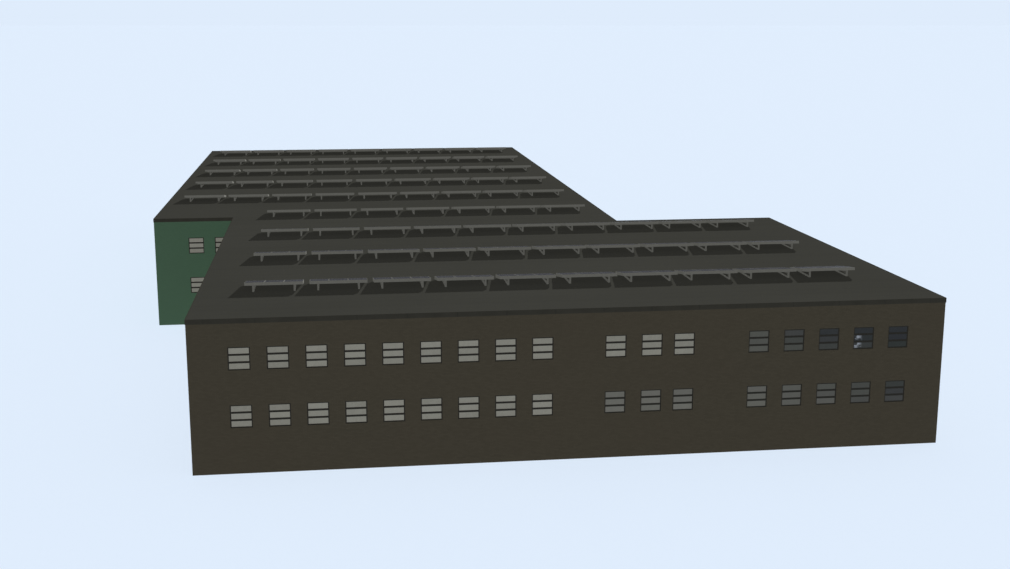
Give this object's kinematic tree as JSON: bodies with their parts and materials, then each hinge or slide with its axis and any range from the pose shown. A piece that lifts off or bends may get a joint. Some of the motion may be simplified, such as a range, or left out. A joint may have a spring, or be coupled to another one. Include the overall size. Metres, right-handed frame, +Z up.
{
  "type": "factory building, 1:10 scale model",
  "caption": "Two-storey flat-roofed factory in a stepped plan: a long brown brick front block joined to a green rear block, with rows of windows and tilted solar racks on the roof.",
  "frame": {"origin": "on the ground at the middle of the building's outline, at the middle of its bounding box", "axes": "+Z up; the long front wall faces -Y and the building is longest along Y; +X is to the right seen from the front"},
  "size_m": [4.502, 8.319, 0.8513],
  "materials": {
    "brown_brick": "matte",
    "green_brick": "matte",
    "concrete": "matte",
    "roofing": "matte",
    "edge_trim": "satin",
    "window_frame": "satin",
    "window_glass": "gloss",
    "solar_panel": "gloss",
    "rack_metal": "satin"
  },
  "bodies": {
    "root": {"front_wall": "brown_brick", "front_window_frames": "window_frame", "front_glass": "window_glass", "front_block_right_wall": "brown_brick", "front_block_right_window_frames": "window_frame", "front_block_right_glass": "window_glass", "front_block_back_wall": "brown_brick", "front_block_back_window_frames": "window_frame", "front_block_back_glass": "window_glass", "rear_block_right_wall": "green_brick", "rear_block_right_window_frames": "window_frame", "rear_block_right_glass": "window_glass", "rear_block_back_wall": "green_brick", "rear_block_back_window_frames": "window_frame", "rear_block_back_glass": "window_glass", "rear_block_left_wall": "green_brick", "rear_block_left_window_frames": "window_frame", "rear_block_left_glass": "window_glass", "rear_block_front_wall": "green_brick", "rear_block_front_window_frames": "window_frame", "rear_block_front_glass": "window_glass", "front_block_left_wall": "brown_brick", "front_block_left_window_frames": "window_frame", "front_block_left_glass": "window_glass", "ground_floor_slab": "concrete", "upper_floor_slab": "concrete", "roof_slab": "roofing", "roof_edge_trim": "edge_trim", "row_1_solar_panels": "solar_panel", "row_1_brackets": "rack_metal", "row_2_solar_panels": "solar_panel", "row_2_brackets": "rack_metal", "row_3_solar_panels": "solar_panel", "row_3_brackets": "rack_metal", "row_4_solar_panels": "solar_panel", "row_4_brackets": "rack_metal", "row_5_solar_panels": "solar_panel", "row_5_brackets": "rack_metal", "row_6_solar_panels": "solar_panel", "row_6_brackets": "rack_metal", "row_7_solar_panels": "solar_panel", "row_7_brackets": "rack_metal", "row_8_solar_panels": "solar_panel", "row_8_brackets": "rack_metal", "row_9_solar_panels": "solar_panel", "row_9_brackets": "rack_metal"}
  },
  "joints": []
}
